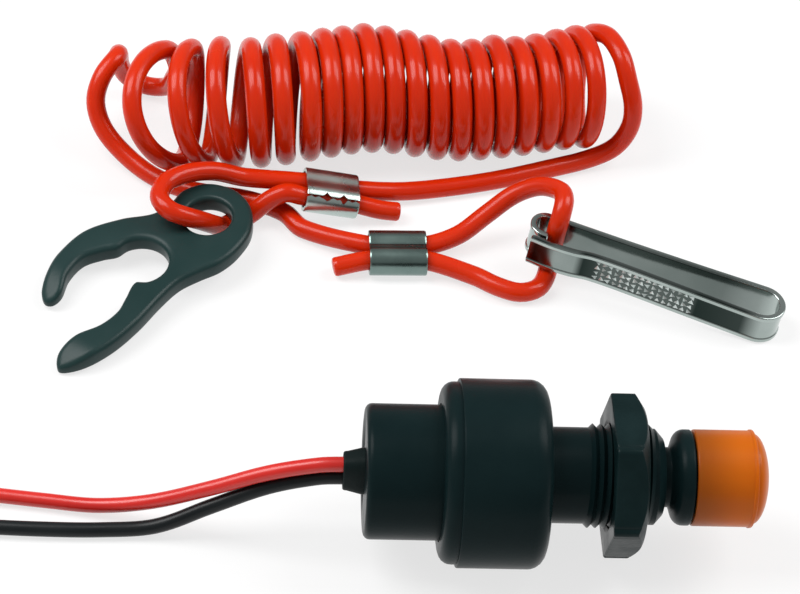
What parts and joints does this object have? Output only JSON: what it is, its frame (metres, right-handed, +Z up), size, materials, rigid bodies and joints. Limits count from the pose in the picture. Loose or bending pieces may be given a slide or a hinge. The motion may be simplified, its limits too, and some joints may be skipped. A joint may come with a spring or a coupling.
{
  "type": "engine kill switch with lanyard",
  "caption": "Panel-mount plunger kill switch with a curly lanyard, fork clip and folded snap hook",
  "frame": {"origin": "The middle of the set's footprint, on the surface it lies on; the cords are left out of the footprint.", "axes": "+X runs along the switch from its wires to its orange cap, +Y runs away from the switch over the surface to the lanyard, and +Z is up."},
  "size_m": [0.1966, 0.1549, 0.0377],
  "materials": {
    "black_plastic": "moulded, softly glossy",
    "black_nut_plastic": "moulded, softly glossy",
    "black_rubber": "matt",
    "clip_plastic": "moulded, softly glossy",
    "orange_cap_plastic": "translucent, glossy",
    "red_cord_plastic": "extruded, glossy",
    "red_wire_skin": "extruded, softly glossy",
    "black_wire_skin": "extruded, softly glossy",
    "chromed_steel": "polished",
    "grey_aluminium": "satin",
    "brass": "turned",
    "spring_steel": "bright drawn",
    "board_plastic": "pressed board"
  },
  "bodies": {
    "switch_and_lanyard": {"front_housing": "black_plastic", "rear_housing": "black_plastic", "housing_seal": "black_rubber", "stem_seal": "black_rubber", "return_spring": "spring_steel", "terminal_board": "board_plastic", "red_contact": "brass", "black_contact": "brass", "wire_boot": "black_rubber", "red_wire": "red_wire_skin", "black_wire": "black_wire_skin", "red_bullet": "brass", "black_bullet": "brass", "coil_cord": "red_cord_plastic", "clip_lead": "red_cord_plastic", "hook_lead": "red_cord_plastic", "clip_ferrule": "chromed_steel", "hook_ferrule": "grey_aluminium", "kill_clip": "clip_plastic", "snap_hook": "chromed_steel"},
    "plunger": {"plunger_spool": "black_plastic", "end_cap": "orange_cap_plastic", "plunger_stem": "spring_steel", "contact_carrier": "board_plastic", "contact_ring": "brass"},
    "nut": {"mounting_nut": "black_nut_plastic"}
  },
  "joints": [
    {"name": "plunger_slide", "type": "slide", "parent": "switch_and_lanyard", "child": "plunger", "axis": [1, 0, 0], "range_m": [0, 0.005], "stiffness_N_per_m": 400, "springref_m": -0.01, "deforming": ["return_spring"]},
    {"name": "nut_turn", "type": "hinge", "parent": "switch_and_lanyard", "child": "nut", "pos_m": [0.04, -0.0405, 0.01885], "axis": [1, 0, 0], "continuous": true}
  ]
}
